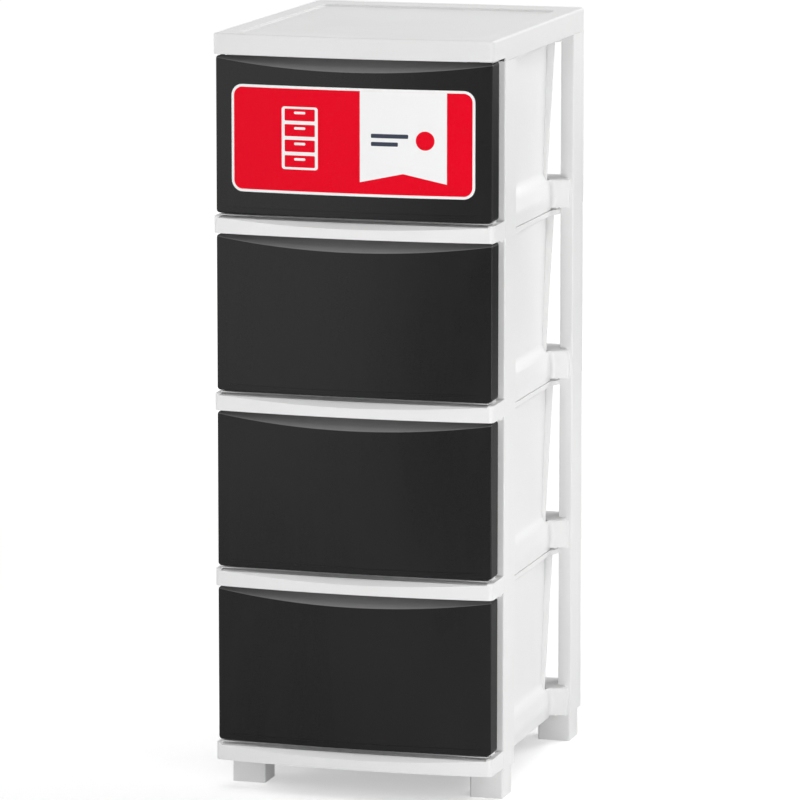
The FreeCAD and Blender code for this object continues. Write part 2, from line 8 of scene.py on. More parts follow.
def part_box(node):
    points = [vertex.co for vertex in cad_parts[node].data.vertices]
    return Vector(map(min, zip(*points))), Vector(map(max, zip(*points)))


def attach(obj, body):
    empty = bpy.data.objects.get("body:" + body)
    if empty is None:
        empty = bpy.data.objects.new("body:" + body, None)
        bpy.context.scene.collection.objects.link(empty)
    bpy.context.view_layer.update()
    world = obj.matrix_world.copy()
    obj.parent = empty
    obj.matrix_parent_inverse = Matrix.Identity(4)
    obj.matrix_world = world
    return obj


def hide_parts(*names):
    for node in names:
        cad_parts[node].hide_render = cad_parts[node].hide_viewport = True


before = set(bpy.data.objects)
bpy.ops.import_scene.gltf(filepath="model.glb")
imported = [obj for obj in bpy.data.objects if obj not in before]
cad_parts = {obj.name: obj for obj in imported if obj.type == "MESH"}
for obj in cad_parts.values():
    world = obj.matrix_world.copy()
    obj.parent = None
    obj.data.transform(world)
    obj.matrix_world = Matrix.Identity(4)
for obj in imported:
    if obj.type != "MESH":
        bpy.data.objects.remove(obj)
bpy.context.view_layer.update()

print("frame loaded")

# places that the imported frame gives, in metres; +Z is up, the drawers slide out towards -Y
tiers = (1, 2, 3, 4)                      # 1 is the top one
tower = {
    "bow": 0.010,                         # how far the middle of each front stands proud of its ends
    "arcSteps": 24,
    "cornerSteps": 6,
    "bendSteps": 5,
    "wall": 0.0024,
    "overrun": 0.03,                      # how far a cutter reaches past what it cuts
    "flatTurn": math.radians(0.5),        # faces that turn less than this are joined
    "sharpTurn": math.radians(32),        # edges that turn more than this are softened
    "softEdge": 0.0006,
    "flat": 0.9,                          # a normal with this share along an axis faces that way
    "forward": 0.7,                       # the same for the bowed fronts
}
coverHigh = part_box("top_cover")[1]
railLow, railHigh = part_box("front_rail_1")
drawerLow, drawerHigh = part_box("drawer_1")
labelLow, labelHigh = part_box("front_label")
halfWidth = railHigh.x
frontY = railLow.y + tower["bow"]         # the front corners
rearY = coverHigh.y
seams = {tier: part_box(f"side_frame_right_{tier}")[0].z for tier in tiers}
pitch = seams[1] - seams[2]
topSeam = seams[1] + pitch

front = {                                 # of a drawer
    "half": halfWidth - 0.0021,
    "setback": 0.004,
    "wall": 0.0026,
    "depth": 0.028,                       # of the returns, behind the front corners
    "corner": 0.0036,
    "rolledEdge": 0.0017,                 # rounding round the face
    "rolledSteps": 4,
    "topRise": 0.0018,                    # the front stands a little higher than the frame's own solid
    "crescentHeight": 0.0126,
    "crescentDepth": 0.0119,
    "topLip": 0.0024,
    "grooveRise": 0.0064,
    "grooveHeight": 0.0009,
    "grooveDepth": 0.0006,
    "grooveSide": 0.014,
}
drawerTop = drawerHigh.z + front["topRise"]
crescentSlope = front["crescentHeight"] / front["crescentDepth"]
crescentRear = frontY + front["setback"] - tower["bow"] + front["crescentDepth"]

label = {
    "radius": 0.0123,
    "cornerSteps": 8,
    "columns": 24,
    "lift": 0.0003,                       # how far its back stands off the face
    "thickness": 0.0003,
    "softEdge": 0.0001,
}


# mesh helpers

def near(a, b, within=1e-5):
    return abs(a - b) < within


def edgesAt(bm, test):
    return [edge for edge in bm.edges if all(test(vert.co) for vert in edge.verts)]


def uprightsAt(bm, x, y):
    return edgesAt(bm, lambda p: near(abs(p.x), x) and near(p.y, y))


def roundEdges(bm, edges, radius, segments):
    bmesh.ops.bevel(bm, geom=edges, offset=radius, offset_type="OFFSET", segments=segments, profile=0.5,
                    affect="EDGES", material=-1, clamp_overlap=True)


def roundCorners(bm, verts, radius, segments):
    bmesh.ops.bevel(bm, geom=verts, offset=radius, offset_type="OFFSET", segments=segments, profile=0.5,
                    affect="VERTICES", material=-1)


def quarterRound(radius):
    # insets and drops from the foot of a rounded upper edge to its top
    steps = tower["bendSteps"]
    turns = [math.pi / 2 * count / steps for count in range(steps + 1)]
    return [(radius * (1 - math.cos(turn)), radius * (1 - math.sin(turn))) for turn in turns]


def bowRadius(half, bow):
    return (half * half + bow * bow) / (2 * bow)


def lift(bm, faces, step):
    made = bmesh.ops.extrude_face_region(bm, geom=faces)["geom"]
    bmesh.ops.translate(bm, verts=[part for part in made if isinstance(part, bmesh.types.BMVert)], vec=step)


def bowedOutline(bm, half, yEnds, bow, yBack, z):
    # a face whose front is an arc; returns the face
    radius = bowRadius(half, bow)
    known = set(bm.edges)
    first = bm.verts.new((-half, yEnds, z))
    spun = bmesh.ops.spin(bm, geom=[first], cent=(0, yEnds - bow + radius, z), axis=(0, 0, 1),
                          angle=2 * math.asin(half / radius), steps=tower["arcSteps"])
    last = [part for part in spun["geom_last"] if isinstance(part, bmesh.types.BMVert)][0]
    backRight = bm.verts.new((half, yBack, z))
    backLeft = bm.verts.new((-half, yBack, z))
    for pair in ((last, backRight), (backRight, backLeft), (backLeft, first)):
        bm.edges.new(pair)
    outline = [edge for edge in bm.edges if edge not in known]
    return bmesh.ops.contextual_create(bm, geom=outline)["faces"][0]


def outlineLoop(bm, half, yEnds, bow, yBack, corner, z):
    # the edges of a bowed outline with round corners; every such loop has as many edges
    face = bowedOutline(bm, half, yEnds, bow, yBack, z)
    corners = [vert for vert in face.verts if near(abs(vert.co.x), half)]
    roundCorners(bm, corners, corner, tower["cornerSteps"])
    face = bm.faces[:][-1]
    edges = face.edges[:]
    bmesh.ops.delete(bm, geom=[face], context="FACES_ONLY")
    return edges


def bowedBlock(half, yEnds, bow, yBack, zSpan):
    bm = bmesh.new()
    base = bowedOutline(bm, half, yEnds, bow, yBack, zSpan[0])
    lift(bm, [base], (0, 0, zSpan[1] - zSpan[0]))
    bmesh.ops.recalc_face_normals(bm, faces=bm.faces[:])
    return bm


def addBox(bm, xSpan, ySpan, zSpan):
    made = bmesh.ops.create_cube(bm, size=1)["verts"]
    size = Vector((xSpan[1] - xSpan[0], ySpan[1] - ySpan[0], zSpan[1] - zSpan[0]))
    middle = Vector((sum(xSpan) / 2, sum(ySpan) / 2, sum(zSpan) / 2))
    bmesh.ops.scale(bm, vec=size, verts=made)
    bmesh.ops.translate(bm, vec=middle, verts=made)


def softFace(bm, points, soft):
    # a face with this outline; soft rounds the corners that it names, by index
    verts = [bm.verts.new(point) for point in points]
    edges = [bm.edges.new(pair) for pair in zip(verts, verts[1:] + verts[:1])]
    bmesh.ops.contextual_create(bm, geom=edges)
    for index, radius in (soft or {}).items():
        roundCorners(bm, [verts[index]], radius, tower["bendSteps"])
    return bm.faces[:][-1]


def lofted(sections, soft=None):
    # a closed shape through outlines that all have as many corners
    bm = bmesh.new()
    loops = []
    for points in sections:
        face = softFace(bm, points, soft)
        loops.append(face.edges[:])
        bmesh.ops.delete(bm, geom=[face], context="FACES_ONLY")
    for one, other in zip(loops, loops[1:]):
        bmesh.ops.bridge_loops(bm, edges=one + other)
    for loop in (loops[0], loops[-1]):
        bmesh.ops.edgeloop_fill(bm, edges=loop)
    bmesh.ops.recalc_face_normals(bm, faces=bm.faces[:])
    return bm


def solid(axis, outline, span, soft=None):
    # an outline pushed along an axis
    put = {
        "x": lambda a, b, along: (along, a, b),
        "y": lambda a, b, along: (a, along, b),
        "z": lambda a, b, along: (a, b, along),
    }[axis]
    bm = bmesh.new()
    face = softFace(bm, [put(a, b, span[0]) for a, b in outline], soft)
    lift(bm, [face], put(0, 0, span[1] - span[0]))
    bmesh.ops.recalc_face_normals(bm, faces=bm.faces[:])
    return bm


def planeCut(bm, point, normal, keepBelow=False):
    # splits the faces at a plane; keepBelow takes off what lies on the normal's side and closes the cut
    made = bmesh.ops.bisect_plane(bm, geom=bm.verts[:] + bm.edges[:] + bm.faces[:], dist=1e-7, plane_co=point,
                                  plane_no=normal, clear_outer=keepBelow)
    if keepBelow:
        edges = [part for part in made["geom_cut"] if isinstance(part, bmesh.types.BMEdge)]
        bmesh.ops.edgeloop_fill(bm, edges=edges)


def dropFaces(bm, test):
    bm.normal_update()
    faces = [face for face in bm.faces if test(face.normal, face.calc_center_median())]
    bmesh.ops.delete(bm, geom=faces, context="FACES")


def newObject(name, data):
    made = bpy.data.objects.new(name, data)
    bpy.context.scene.collection.objects.link(made)
    return made


def templateMesh(name, bm):
    mesh = bpy.data.meshes.new(name)
    bm.to_mesh(mesh)
    bm.free()
    return mesh


def evaluated(bm, addModifiers):
    # the mesh after its modifiers, as a new bmesh
    mesh = templateMesh("working", bm)
    holder = newObject("working", mesh)
    addModifiers(holder)
    bpy.context.view_layer.update()
    result = bmesh.new()
    result.from_object(holder, bpy.context.evaluated_depsgraph_get())
    bpy.data.objects.remove(holder)
    bpy.data.meshes.remove(mesh)
    return result


def thickened(bm, wall):
    # gives an open shell its wall, inwards
    def addModifiers(holder):
        modifier = holder.modifiers.new("wall", "SOLIDIFY")
        modifier.thickness = wall
        modifier.offset = -1
        modifier.use_even_offset = True
    return evaluated(bm, addModifiers)


def carved(bm, cutter):
    # takes the closed cutter out of the closed shape
    mesh = templateMesh("cutter", cutter)
    tool = newObject("cutter", mesh)

    def addModifiers(holder):
        modifier = holder.modifiers.new("cut", "BOOLEAN")
        modifier.operation = "DIFFERENCE"
        modifier.solver = "EXACT"
        modifier.object = tool
    result = evaluated(bm, addModifiers)
    bpy.data.objects.remove(tool)
    bpy.data.meshes.remove(mesh)
    return result


def joined(shapes):
    whole = bmesh.new()
    for shape in shapes:
        mesh = templateMesh("joining", shape)
        whole.from_mesh(mesh)
        bpy.data.meshes.remove(mesh)
    return whole


def placePiece(name, mesh, body, material, nodes, bevel, move=(0, 0, 0), mirrored=False):
    # a finished piece: its own copy of the mesh, in place, with its edges softened
    own = mesh.copy()
    own.name = name
    own.transform(Matrix.Translation(move))
    if mirrored:
        own.transform(Matrix.Scale(-1, 4, (1, 0, 0)))
        own.flip_normals()
    own.materials.clear()
    own.materials.append(material)
    own.shade_smooth()
    own.set_sharp_from_angle(angle=tower["sharpTurn"])
    piece = newObject(name, own)
    modifier = piece.modifiers.new("softEdges", "BEVEL")
    modifier.width = bevel
    modifier.segments = 2
    modifier.limit_method = "ANGLE"
    modifier.angle_limit = tower["sharpTurn"]
    modifier.use_clamp_overlap = True
    modifier = piece.modifiers.new("evenShading", "WEIGHTED_NORMAL")
    modifier.keep_sharp = True
    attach(piece, body)
    if nodes:
        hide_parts(*nodes)


# shader maths

def mathOperator(operation):
    # an operator and its reflected form
    return (lambda wire, other: wire.math(operation, wire, other),
            lambda wire, other: wire.math(operation, other, wire))


class Wire:
    # a socket of a shader tree: sums on it add Math nodes
    def __init__(self, socket):
        self.socket = socket

    def add(self, kind, settings=None, inputs=None, output=0):
        # any node: its settings are set first, then its sockets get values or links
        tree = self.socket.id_data
        node = tree.nodes.new(kind)
        for key, value in (settings or {}).items():
            setattr(node, key, value)
        for key, value in (inputs or {}).items():
            if isinstance(value, Wire):
                tree.links.new(value.socket, node.inputs[key])
            else:
                node.inputs[key].default_value = value
        return Wire(node.outputs[output]) if node.outputs else None

    def math(self, operation, *values):
        return self.add("ShaderNodeMath", {"operation": operation}, dict(enumerate(values)))

    __add__, __radd__ = mathOperator("ADD")
    __sub__, __rsub__ = mathOperator("SUBTRACT")
    __mul__, __rmul__ = mathOperator("MULTIPLY")
    __truediv__, __rtruediv__ = mathOperator("DIVIDE")
    __pow__, __rpow__ = mathOperator("POWER")
    __mod__, __rmod__ = mathOperator("MODULO")

    def __abs__(self):
        return self.math("ABSOLUTE", self)

    def larger(self, other):
        return self.math("MAXIMUM", self, other)

    def smaller(self, other):
        return self.math("MINIMUM", self, other)

    def between(self, low, high):
        # 0 below low, 1 above high, smooth in between
        return self.add("ShaderNodeMapRange", {"interpolation_type": "SMOOTHSTEP"},
                        {0: self, 1: low, 2: high, 3: 0.0, 4: 1.0})

    def noise(self, scale, detail=2.0, roughness=0.5, distortion=0.0):
        return self.add("ShaderNodeTexNoise", None,
                        {"Vector": self, "Scale": scale, "Detail": detail, "Roughness": roughness,
                         "Distortion": distortion})

    def scaled(self, factors):
        return self.add("ShaderNodeVectorMath", {"operation": "MULTIPLY"}, {0: self, 1: factors})

    def blend(self, factor, one, other):
        # one colour, and the other where factor is 1
        return self.add("ShaderNodeMix", {"data_type": "RGBA"}, {0: factor, 6: one, 7: other}, output=2)

    def mixed(self, factor, other):
        # this colour, and the other where factor is 1
        return self.blend(factor, self, other)

    def bump(self, depth, normal=None):
        # the normal of a surface that has this height, in metres, on top of another normal
        inputs = {"Strength": 1.0, "Distance": depth, "Height": self}
        if normal:
            inputs["Normal"] = normal
        return self.add("ShaderNodeBump", None, inputs)

    def axis(self, index):
        return self.add("ShaderNodeSeparateXYZ", None, {0: self}, output=index)


def newMaterial(name):
    # returns the material and a wire that carries the Object coordinates
    material = bpy.data.materials.new(name)
    material.use_nodes = True
    tree = material.node_tree
    tree.nodes.clear()
    place = tree.nodes.new("ShaderNodeTexCoord").outputs["Object"]
    return material, Wire(place)


def mouldedPatterns(place, finish):
    # slow patches, worn edges and fine grain, and the normal that grain and wave make
    cloud = place.noise(**finish["cloud"])
    flow = place.scaled(finish["flowStretch"]).noise(**finish["flow"])
    share = finish["cloudShare"]
    patch = (cloud * share + flow * (1 - share)).between(*finish["patchRange"])
    edge = place.add("ShaderNodeNewGeometry", None, None, "Pointiness").between(*finish["edgeRange"])
    grain = place.noise(**finish["grain"])
    wave = place.noise(**finish["wave"])
    return patch, edge, grain, wave.bump(finish["waveDepth"], grain.bump(finish["grainDepth"]))


def whitePlastic(name, level):
    finish = {
        "colour": (level, level, level, 1),
        "warm": (level * 0.97, level * 0.968, level * 0.96, 1),
        "warmShare": 0.55,
        "index": 1.49,
        "roughness": 0.4,
        "patchRoughness": 0.08,           # what each pattern adds or takes
        "grainRoughness": 0.1,
        "edgeRoughness": -0.06,
        "cloud": {"scale": 6.0, "detail": 3.0},
        "cloudShare": 0.6,
        "flow": {"scale": 1.0, "detail": 4.0, "roughness": 0.6, "distortion": 0.4},
        "flowStretch": (9.0, 9.0, 2.2),
        "patchRange": (0.38, 0.7),
        "edgeRange": (0.5, 0.56),
        "grain": {"scale": 1300.0, "detail": 2.0, "roughness": 0.6},
        "grainDepth": 0.000012,
        "wave": {"scale": 14.0, "detail": 1.0},
        "waveDepth": 0.00012,
    }
    material, place = newMaterial(name)
    patch, edge, grain, normal = mouldedPatterns(place, finish)
    roughness = (finish["roughness"] + (patch - 0.5) * finish["patchRoughness"]
                 + (grain - 0.5) * finish["grainRoughness"] + edge * finish["edgeRoughness"])
    shader = place.add("ShaderNodeBsdfPrincipled", None, {
        "Base Color": place.blend(patch * finish["warmShare"], finish["colour"], finish["warm"]),
        "Roughness": roughness,
        "IOR": finish["index"],
        "Normal": normal,
    })
    place.add("ShaderNodeOutputMaterial", None, {"Surface": shader})
    return material


def charcoalPlastic():
    finish = {
        "colour": (0.0035, 0.0035, 0.0035, 1),
        "pale": (0.006, 0.006, 0.006, 1),
        "patchPale": 0.6,                 # how pale each pattern makes the plastic
        "edgePale": 0.4,
        "scuffPale": 0.2,
        "pullHighlight": (0.18, 0.18, 0.18, 1),    # painted highlight on the finger pull, paler than the plastic
        "pullHighlightEnds": (0.08, 0.08, 0.08, 1),
        "gripFade": (0.0003, 0.0008),     # away from the plane of the finger pull
        "rearFade": (0.0004, 0.0009),     # behind the rear line of the finger pull
        "index": 1.36,
        "dimmedSideIndex": 1.12,                # painted shade: a lower index dims what the returns reflect
        "sideFade": (0.0005, 0.0025),     # behind the ends of the face
        "roughness": 0.3,
        "patchRoughness": 0.07,           # what each pattern adds or takes
        "grainRoughness": 0.12,
        "scuffRoughness": -0.04,
        "gripRoughness": 0.2,
        "cloud": {"scale": 5.0, "detail": 4.0, "roughness": 0.55},
        "cloudShare": 0.5,
        "flow": {"scale": 1.0, "detail": 5.0, "roughness": 0.6, "distortion": 0.6},
        "flowStretch": (14.0, 14.0, 3.0),
        "patchRange": (0.36, 0.68),
        "edgeRange": (0.5, 0.57),
        "grain": {"scale": 1500.0, "detail": 2.0, "roughness": 0.65},
        "grainDepth": 0.00002,
        "wave": {"scale": 12.0, "detail": 1.0},
        "waveDepth": 0.00015,
        "scuff": {"scale": 1.0, "detail": 3.0, "roughness": 0.7},
        "scuffStretch": (26.0, 26.0, 190.0),
        "scuffRange": (0.66, 0.8),
    }
    material, place = newMaterial("charcoalPlastic")
    patch, edge, grain, normal = mouldedPatterns(place, finish)
    scuffs = place.scaled(finish["scuffStretch"]).noise(**finish["scuff"]).between(*finish["scuffRange"])
    worn = patch * finish["patchPale"] + edge * finish["edgePale"] + scuffs * finish["scuffPale"]
    colour = place.blend(worn.smaller(1.0), finish["colour"], finish["pale"])
    x, y, z = (place.axis(index) for index in range(3))
    rise = (z - (drawerTop - pitch * len(tiers))) % pitch
    behind = y - crescentRear
    slanted = behind * crescentSlope
    away = abs(rise - pitch - slanted).smaller(abs(rise - slanted))
    # painted highlight: the plane of the finger pull is painted paler than the plastic, brightest in the
    # middle and darker towards its ends, in place of the light it reflects; it is also made rougher
    pullHighlight = (1 - away.between(*finish["gripFade"])) * (1 - behind.between(*finish["rearFade"]))
    pullHighlightColour = place.blend((abs(x) / front["half"]) ** 2, finish["pullHighlight"], finish["pullHighlightEnds"])
    colour = colour.mixed(pullHighlight, pullHighlightColour)
    roughness = (finish["roughness"] + (patch - 0.5) * finish["patchRoughness"]
                 + (grain - 0.5) * finish["grainRoughness"] + scuffs * finish["scuffRoughness"]
                 + pullHighlight * finish["gripRoughness"])
    shaders = [place.add("ShaderNodeBsdfPrincipled", None, {
        "Base Color": colour,
        "Roughness": roughness,
        "IOR": index,
        "Normal": normal,
    }) for index in (finish["index"], finish["dimmedSideIndex"])]
    # painted shade: behind the ends of the face the returns take a copy of the plastic whose lower index dims
    # their reflection
    side = (y - frontY - front["setback"]).between(*finish["sideFade"])
    shader = place.add("ShaderNodeMixShader", None, {0: side, 1: shaders[0], 2: shaders[1]})
    place.add("ShaderNodeOutputMaterial", None, {"Surface": shader})
    return material


def labelFilm():
    artwork = {
        "red": (0.83, 0.001, 0.017, 1),
        "white": (0.93, 0.93, 0.93, 1),
        "ink": (0.05, 0.06, 0.09, 1),
        "keyline": 0.0028,
        "blur": 0.00012,
        "pennant": (0.0100, 0.1030),      # its left and right side
        "pennantFoot": 0.0152,            # from the lower edge of the label up to its tips
        "notch": 0.0099,                  # how far the notch reaches up
        "frame": {"centre": (-0.0560, 0.0020), "half": (0.0200, 0.0330), "radius": 0.0030},
        "drawer": {"half": (0.0168, 0.0063), "radius": 0.0012},
        "pull": {"half": (0.0062, 0.0013), "radius": 0.0012},
        "topDrawer": (-0.0560, 0.0265),   # the middle of the highest of the four
        "drawerStep": 0.0163,
        "pullRise": 0.0022,
        "longBar": {"centre": (0.0420, 0.0075), "half": (0.0200, 0.0022), "radius": 0.0011},
        "shortBar": {"centre": (0.0365, -0.0010), "half": (0.0145, 0.0022), "radius": 0.0011},
        "dot": {"centre": (0.0800, 0.0035), "half": (0.0100, 0.0100), "radius": 0.0100},
        "speck": {"scale": 1800.0, "detail": 1.0},
        "speckShare": 0.08,
        "wave": {"scale": 30.0, "detail": 2.0},
        "waveDepth": 0.00006,
        "roughness": 0.38,
        "waveRoughness": 0.1,
        "specular": 0.04,
    }
    material, place = newMaterial("labelFilm")
    halfX = labelHigh.x
    halfZ = (labelHigh.z - labelLow.z) / 2
    x = place.axis(0)
    z = place.axis(2) - (labelLow.z + halfZ)

    def inside(distance):
        return 1 - distance.between(-artwork["blur"], artwork["blur"])

    def plate(centre, half, radius):
        # 1 on a rectangle with round corners, 0 around it
        dx = abs(x - centre[0]) - (half[0] - radius)
        dz = abs(z - centre[1]) - (half[1] - radius)
        outX = dx.larger(0.0)
        outZ = dz.larger(0.0)
        corner = (outX * outX + outZ * outZ) ** 0.5
        return inside(corner + dx.larger(dz).smaller(0.0) - radius)

    keyline = artwork["keyline"]
    field = plate((0.0, 0.0), (halfX - keyline, halfZ - keyline), label["radius"] - keyline)
    left, right = artwork["pennant"]
    halfPennant = (right - left) / 2
    across = abs(x - (left + right) / 2)
    tips = artwork["pennantFoot"] - halfZ + (1 - across / halfPennant) * artwork["notch"] - z
    pennant = inside((across - halfPennant).larger(tips))

    icon = plate(**artwork["frame"])      # pictogram of the tower: a frame with four drawers
    centreX, topZ = artwork["topDrawer"]
    for row in range(len(tiers)):
        centreZ = topZ - row * artwork["drawerStep"]
        drawer = plate((centreX, centreZ), **artwork["drawer"])
        pull = plate((centreX, centreZ + artwork["pullRise"]), **artwork["pull"])
        icon = icon - drawer + pull
    bars = plate(**artwork["longBar"]).larger(plate(**artwork["shortBar"]))

    colour = place.blend(field, artwork["white"], artwork["red"])
    colour = colour.mixed(pennant.larger(icon) * field, artwork["white"])
    colour = colour.mixed(bars, artwork["ink"])
    colour = colour.mixed(plate(**artwork["dot"]), artwork["red"])
    speck = (place.noise(**artwork["speck"]) - 0.5).larger(0.0)
    wave = place.noise(**artwork["wave"])
    shader = place.add("ShaderNodeBsdfPrincipled", None, {
        "Base Color": colour.mixed(speck * artwork["speckShare"], (1, 1, 1, 1)),
        "Roughness": artwork["roughness"] + (wave - 0.5) * artwork["waveRoughness"],
        "Specular IOR Level": artwork["specular"],
        "Normal": wave.bump(artwork["waveDepth"]),
    })
    place.add("ShaderNodeOutputMaterial", None, {"Surface": shader})
    return material


white = whitePlastic("whitePlastic", 0.86)
# painted shade: the cap gets a greyer copy of the white plastic, to offset the light that its top mirrors
shadedCapWhite = whitePlastic("shadedCapPlastic", 0.80)
charcoal = charcoalPlastic()
film = labelFilm()
print("materials made")


# cap

def makeCover():
    cap = {
        "corner": 0.005,
        "topEdge": 0.0026,
        "rim": 0.022,
        "rearRim": 0.044,
        "rimFall": 0.0002,                # the rim's inner edge is a little lower than its outer one
        "sunk": 0.0026,
        "sunkCorner": 0.004,
        "frontRise": 0.0037,              # the skirt is shorter in front of the posts
        "frontDepth": 0.0467,
        "ribCount": 6,
        "ribHeight": 0.009,
        "ribWall": 0.002,
        "ribLap": 0.0002,                 # how far a rib reaches into the deck
        "ribEdge": 0.0003,
        "frontRibSetback": 0.0094,
        "frontRibDrop": 0.0038,
        "frontRibHalf": 0.121,
    }
    low, high = topSeam, coverHigh.z
    stepZ = low + cap["frontRise"]
    profile = [(0, low), (0, stepZ)] + [(inset, high - drop) for inset, drop in quarterRound(cap["topEdge"])]
    bm = bmesh.new()
    loops = [outlineLoop(bm, halfWidth - inset, frontY + inset, tower["bow"], rearY - inset,
                         cap["corner"] - inset, z) for inset, z in profile]
    for z in (high - cap["rimFall"], high - cap["sunk"]):
        loops.append(outlineLoop(bm, halfWidth - cap["rim"], frontY + cap["rim"], tower["bow"],
                                 rearY - cap["rearRim"], cap["sunkCorner"], z))
    for below, above in zip(loops, loops[1:]):
        bmesh.ops.bridge_loops(bm, edges=below + above)
    bmesh.ops.edgeloop_fill(bm, edges=loops[-1])
    stepY = frontY + cap["frontDepth"]
    planeCut(bm, (0, stepY, 0), (0, 1, 0))
    dropFaces(bm, lambda normal, centre: centre.z < stepZ and centre.y < stepY)
    bmesh.ops.recalc_face_normals(bm, faces=bm.faces[:])
    shell = templateMesh("coverShell", thickened(bm, tower["wall"]))
    placePiece("coverShell", shell, "frame", shadedCapWhite, ["top_cover"], tower["softEdge"])

    ribs = bmesh.new()
    deck = high - cap["sunk"] - tower["wall"]
    ribTop = deck + cap["ribLap"]
    span = (-halfWidth + tower["wall"], halfWidth - tower["wall"])
    ribStart = frontY + cap["frontRibSetback"]
    step = (rearY - ribStart) / (cap["ribCount"] + 1)
    for index in range(cap["ribCount"]):
        y = ribStart + step * (index + 1)
        ys = (y - cap["ribWall"] / 2, y + cap["ribWall"] / 2)
        addBox(ribs, span, ys, (deck - cap["ribHeight"], ribTop))
    addBox(ribs, (-cap["frontRibHalf"], cap["frontRibHalf"]), (ribStart, ribStart + tower["wall"]),
           (low - cap["frontRibDrop"], ribTop))
    placePiece("coverRibs", templateMesh("coverRibs", ribs), "frame", shadedCapWhite, [],
               cap["ribEdge"])


makeCover()
print("cap made")


# front rails

def makeFrontRails():
    rail = {
        "corner": 0.005,
        "lipRise": 0.0019,
        "lipSetback": 0.004,
        "lipEnd": 0.006,
        "lipThickness": 0.0008,
        "scoopSlope": 0.675,
        "back": 0.034,
        "armBack": 0.0467,
        "ribCount": 5,
        "ribWall": 0.002,
        "ribInset": 0.031,                # from the sides to where the row of ribs starts
        "ribFront": 0.004,
        "ribRise": (0.002, 0.0095),       # above the underside
        "lowestDrop": 0.0018,             # the lowest rail hangs lower than the others
        "grooveHeight": 0.0030,           # the slot under the lip, deep enough to stay dark
        "grooveDepth": 0.0160,
    }
    lipTop = railHigh.z - seams[1]
    lipY = frontY + rail["lipSetback"]
    shoulder = lipTop - rail["lipRise"]
    grooveTop = lipTop - rail["lipThickness"]
    wall = tower["wall"]
    reach = tower["overrun"]
    backY = frontY + rail["back"]

    def scooped(bm, drop):
        planeCut(bm, (0, lipY, lipTop - drop), (0, -rail["scoopSlope"], 1), keepBelow=True)

    for tier in tiers:
        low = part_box(f"front_rail_{tier}")[0].z - seams[tier]
        if tier == tiers[-1]:
            low -= rail["lowestDrop"]
        outer = bowedBlock(halfWidth, frontY, tower["bow"], frontY + rail["armBack"], (low, lipTop))
        roundEdges(outer, uprightsAt(outer, halfWidth, frontY), rail["corner"], tower["cornerSteps"])
        scooped(outer, 0)
        ends = bmesh.new()
        for side in (-1, 1):
            xs = sorted((side * (halfWidth - rail["lipEnd"]), side * (halfWidth + reach)))
            addBox(ends, xs, (frontY - reach, rearY), (shoulder, lipTop + reach))
        outer = carved(outer, ends)
        inner = bmesh.new()
        addBox(inner, (-halfWidth + wall, halfWidth - wall), (backY, rearY), (low - reach, lipTop + reach))
        outer = carved(outer, inner)
        groove = bmesh.new()
        addBox(groove, (-halfWidth + rail["lipEnd"], halfWidth - rail["lipEnd"]),
               (lipY - 2 * rail["grooveHeight"] / rail["scoopSlope"], lipY + rail["grooveDepth"]),
               (grooveTop - rail["grooveHeight"], grooveTop))
        outer = carved(outer, groove)
        hollow = bowedBlock(halfWidth - wall, frontY + wall, tower["bow"], backY - wall,
                            (low - reach, shoulder - wall))
        scooped(hollow, wall * math.hypot(1, rail["scoopSlope"]))
        outer = carved(outer, hollow)
        ribs = bmesh.new()
        start = -halfWidth + rail["ribInset"]
        step = -2 * start / (rail["ribCount"] + 1)
        for index in range(rail["ribCount"]):
            x = start + step * (index + 1)
            addBox(ribs, (x - rail["ribWall"] / 2, x + rail["ribWall"] / 2),
                   (frontY - rail["ribFront"], backY - wall / 2), [low + rise for rise in rail["ribRise"]])
        mesh = templateMesh(f"frontRail_{tier}", joined([outer, ribs]))
        placePiece(f"frontRail_{tier}", mesh, "frame", white, [f"front_rail_{tier}"],
                   tower["softEdge"], (0, 0, seams[tier]))


makeFrontRails()
print("front rails made")


# drawers

